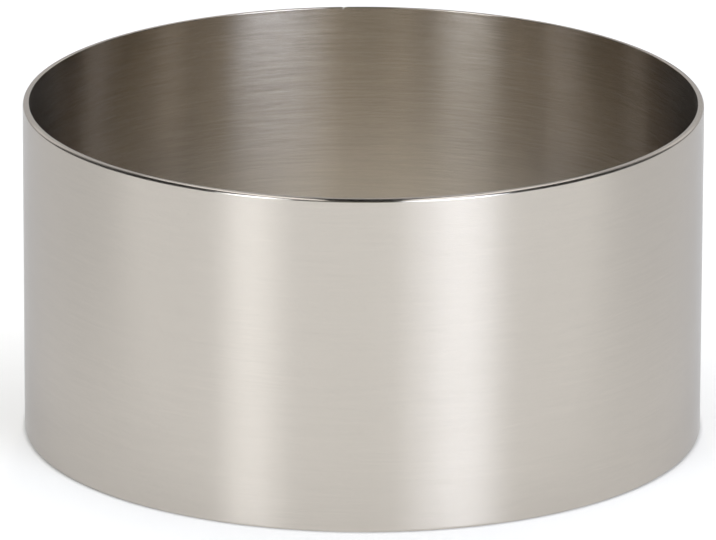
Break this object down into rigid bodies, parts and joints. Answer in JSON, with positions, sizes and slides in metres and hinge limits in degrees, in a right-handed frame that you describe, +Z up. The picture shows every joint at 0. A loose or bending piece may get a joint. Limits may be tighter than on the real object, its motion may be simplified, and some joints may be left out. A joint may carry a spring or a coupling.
{
  "type": "food ring",
  "caption": "Open-ended round stainless-steel ring with softly rounded rims, set on a plate or tray to mould, cut or stack food and then lifted away.",
  "frame": {"origin": "centre of the ring on the surface that it stands on, in the plane of its lower rim", "axes": "+Z up along the ring's axis; -Y is the plain side, which faces the camera in the picture; the weld is at the back, at +Y"},
  "size_m": [0.08, 0.08, 0.04],
  "materials": {
    "band_steel": "satin stainless sheet, brushed finely round the ring",
    "weld_steel": "butt weld dressed flush with the sheet and brushed along the seam"
  },
  "bodies": {
    "root": {"ring_band": "band_steel", "weld_seam": "weld_steel"}
  },
  "joints": []
}
